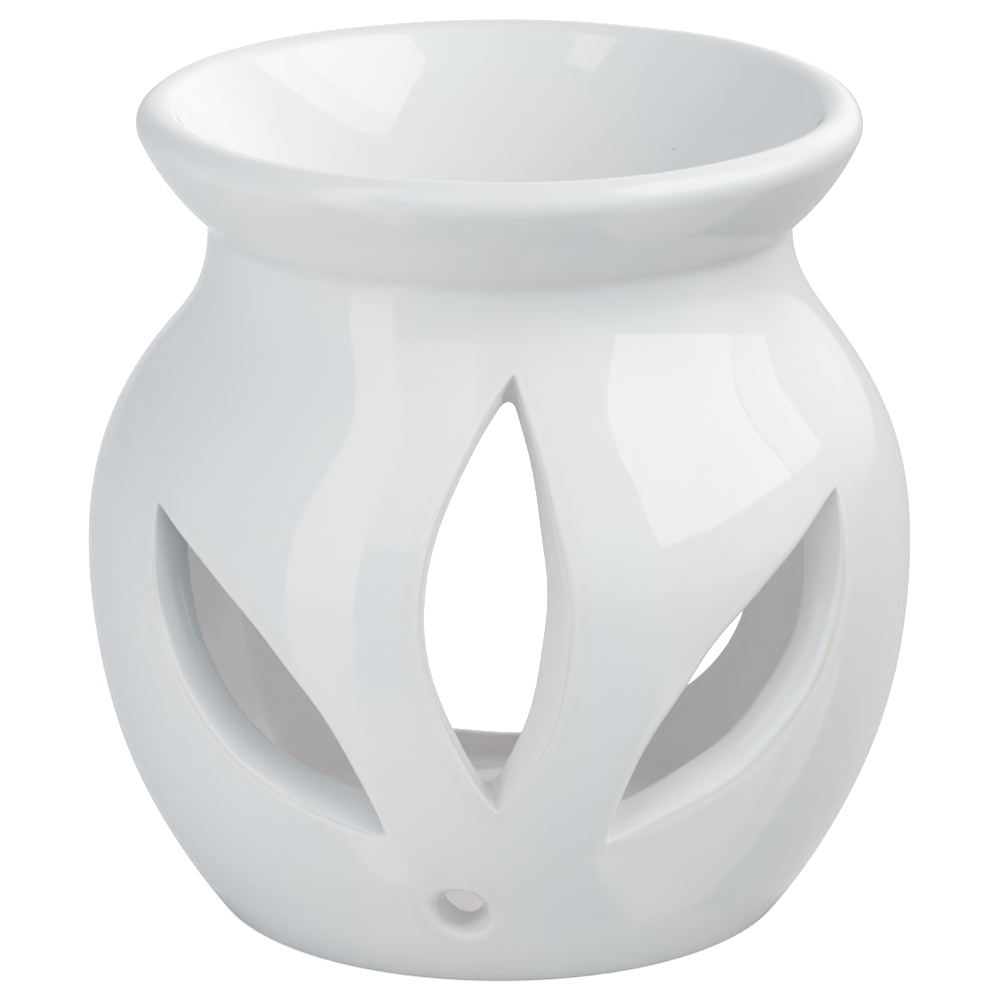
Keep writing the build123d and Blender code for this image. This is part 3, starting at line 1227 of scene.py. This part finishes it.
@dataclass(frozen=True)
class SoftPanel:
    """Upright rectangular studio light in a wall square to an azimuth, between two places along that wall."""

    name: str
    azimuth: float
    distance: float
    start: float
    end: float
    low: float
    high: float
    brightness: float
    colour: Color = (1.0, 1.0, 1.0)
    mirrored: bool = True

    def place(self) -> None:
        """Stands the light in the scene, out of the camera's sight."""
        light = bpy.data.lights.new(self.name, "AREA")
        light.shape = "RECTANGLE"
        light.size, light.size_y = self.end - self.start, self.high - self.low
        light.energy = math.pi * light.size * light.size_y * self.brightness
        light.color = self.colour
        lamp = bpy.data.objects.new(self.name, light)
        way, along = toward(self.azimuth, 0.0), toward(self.azimuth + 90, 0.0)
        middle = Vector((0, 0, (self.low + self.high) / 2))
        lamp.location = way * self.distance + along * ((self.start + self.end) / 2) + middle
        lamp.rotation_mode = "QUATERNION"
        lamp.rotation_quaternion = way.to_track_quat("Z", "Y")
        lamp.visible_camera = False
        lamp.visible_glossy = self.mirrored
        bpy.context.scene.collection.objects.link(lamp)


@dataclass(frozen=True)
class Glow:
    """Soft brightening of the surroundings about one direction, narrower the higher its focus."""

    azimuth: float
    elevation: float
    focus: float
    colour: Color


@dataclass(frozen=True)
class Studio:
    """Pale floor, soft lights and the camera."""

    floor_radius: float = 3.0
    floor_steps: int = 128
    floor_seen: float = 0.95
    floor_bounce: Pair = (0.96, 0.12)
    floor_change: Pair = (-0.06, 0.13)
    floor_gloss: float = 0.7
    floor_roughness: float = 0.09
    floor_white: float = 0.6
    aim_height: float = 0.04914
    camera_elevation: float = 17.287
    camera_distance: float = 0.8
    camera_clip: Pair = (0.05, 20.0)
    lens: float = 236.8
    sensor: float = 36.0
    surroundings: Color = (0.338, 0.376, 0.412)
    panels: tuple[SoftPanel, ...] = (
        SoftPanel("window", 84.0, 0.8, -0.667, 0.173, 0.318, 1.80, 1.7, (1.0, 0.912, 0.794)),
        SoftPanel("window_side", 84.0, 0.8, 0.187, 0.42, 0.318, 1.80, 1.1, (1.0, 0.9, 0.8)),
        SoftPanel("strip", -49.0, 0.8, -0.1265, 0.1265, 0.0, 1.55, 1.5, (1.0, 0.9, 0.8)),
        SoftPanel("front", -24.0, 0.9, -0.259, 0.258, 0.35, 1.4, 0.76, (1.0, 0.86, 0.74)),
        SoftPanel("left_wall", -80.0, 0.9, -0.45, 0.35, 0.0, 0.9, 0.13, (0.7, 0.95, 1.0)),
        SoftPanel("backdrop", 180.0, 0.6, -0.25, 0.25, 0.0, 0.6, 0.9, mirrored=False),
        SoftPanel("chamber_fill", 0.0, 0.034, -0.02, 0.02, 0.012, 0.06, 0.4, mirrored=False),
    )
    glows: tuple[Glow, ...] = (
        Glow(-35.0, 12.0, 10.0, (0.09, 0.14, 0.22)),
        Glow(40.0, 15.0, 8.0, (0.70, 0.78, 0.83)),
        Glow(85.0, 5.0, 16.0, (1.06, 1.10, 1.18)),
        Glow(180.0, 15.0, 8.0, (0.52, 0.48, 0.46)),
        Glow(140.0, 20.0, 8.0, (0.75, 0.69, 0.63)),
    )

    def build(self) -> None:
        """Sets up floor, surroundings, lights and camera."""
        self._floor()
        self._surroundings()
        for panel in self.panels:
            panel.place()
        self._camera()
        bpy.context.scene.view_settings.view_transform = "Standard"

    def _floor(self) -> None:
        """Lays a plain round floor, white to the camera, glossy and darker on the right in the glaze."""
        angle = np.arange(self.floor_steps) * math.tau / self.floor_steps
        mesh = bpy.data.meshes.new("floor")
        mesh.from_pydata(turned(angle, self.floor_radius, 0.0).tolist(), [], [list(range(self.floor_steps))])
        material = bpy.data.materials.new("floor")
        material.use_nodes = True
        tree = material.node_tree
        tree.nodes.remove(tree.nodes["Principled BSDF"])
        sheet = NodeSheet(tree)
        path = sheet.add("ShaderNodeLightPath")
        seen, mirrored = path.outputs["Is Camera Ray"], path.outputs["Is Glossy Ray"]
        across = sheet.add("ShaderNodeSeparateXYZ", {0: sheet.place()}).outputs[0]
        bounce = sheet.ramp(across, *self.floor_change, *self.floor_bounce)
        shade = sheet.mix(seen, bounce, grey(self.floor_seen))
        diffuse = sheet.add("ShaderNodeBsdfDiffuse", {"Color": shade}).outputs[0]
        gloss = sheet.add("ShaderNodeBsdfGlossy", {"Roughness": self.floor_roughness}).outputs[0]
        share = sheet.math("MULTIPLY", mirrored, self.floor_gloss)
        surface = sheet.add("ShaderNodeMixShader", {0: share, 1: diffuse, 2: gloss}).outputs[0]
        strength = sheet.math("MULTIPLY", seen, self.floor_white)
        white = sheet.add("ShaderNodeEmission", {"Strength": strength}).outputs[0]
        both = sheet.add("ShaderNodeAddShader", {0: surface, 1: white}).outputs[0]
        sheet.feed(tree.nodes["Material Output"], {"Surface": both})
        mesh.materials.append(material)
        floor = bpy.data.objects.new("floor", mesh)
        bpy.context.scene.collection.objects.link(floor)

    def _surroundings(self) -> None:
        """Fills the room with even light and its glows, behind a white backdrop."""
        world = bpy.data.worlds.new("studio")
        world.use_nodes = True
        sheet = NodeSheet(world.node_tree)
        way = sheet.add("ShaderNodeTexCoord").outputs["Generated"]
        light: object = self.surroundings
        for glow in self.glows:
            ends = {0: way, 1: toward(glow.azimuth, glow.elevation)}
            facing = sheet.add("ShaderNodeVectorMath", ends, operation="DOT_PRODUCT").outputs["Value"]
            share = sheet.math("POWER", sheet.math("MAXIMUM", facing, 0.0), glow.focus)
            parts = {0: share, 1: glow.colour, 2: light}
            light = sheet.add("ShaderNodeVectorMath", parts, operation="MULTIPLY_ADD").outputs[0]
        seen = sheet.add("ShaderNodeLightPath").outputs["Is Camera Ray"]
        sheet.feed(world.node_tree.nodes["Background"], {"Color": sheet.mix(seen, light, grey(1.0))})
        bpy.context.scene.world = world

    def _camera(self) -> None:
        """Stands the camera at the viewing angle."""
        data = bpy.data.cameras.new("camera")
        data.lens, data.sensor_width = self.lens, self.sensor
        data.clip_start, data.clip_end = self.camera_clip
        camera = bpy.data.objects.new("camera", data)
        way = toward(0.0, self.camera_elevation)
        camera.location = Vector((0, 0, self.aim_height)) + way * self.camera_distance
        camera.rotation_mode = "QUATERNION"
        camera.rotation_quaternion = way.to_track_quat("Z", "Y")
        bpy.context.scene.collection.objects.link(camera)
        bpy.context.scene.camera = camera


def main() -> None:
    """Builds the burner and the studio round it."""
    logging.basicConfig(level=logging.INFO, format="%(name)s: %(message)s")
    _, bulb_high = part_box("bulb_body")
    _, dish_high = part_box("oil_dish")
    seats = {mount["name"]: mount["pos_m"] for mount in frame["record"]["mounts"]}
    form = BulbForm(bulb_radius=bulb_high.x / MM, seat_height=bulb_high.z / MM)
    groups = GlazeGroups()
    shaping = HandShaping()
    bulb = PiercedBulb(form=form, finish=GlazeFinish("body_glaze", bare_height=0.00002),
                       floor=seats["tealight_seat"][2] / MM)
    dish = OilDish(form=form, finish=GlazeFinish("dish_glaze"),
                   lip_reach=dish_high.x / MM, lip_top=dish_high.z / MM)
    for part in (bulb, dish):
        piece = part.place(groups, shaping)
        size = np.ptp(np.array(piece.bound_box).reshape(8, 3), axis=0) / MM
        log.info("%s: %d faces, %s mm", piece.name, len(piece.data.polygons), np.round(size, 1))
    Studio().build()


if __name__ == "__main__":
    main()
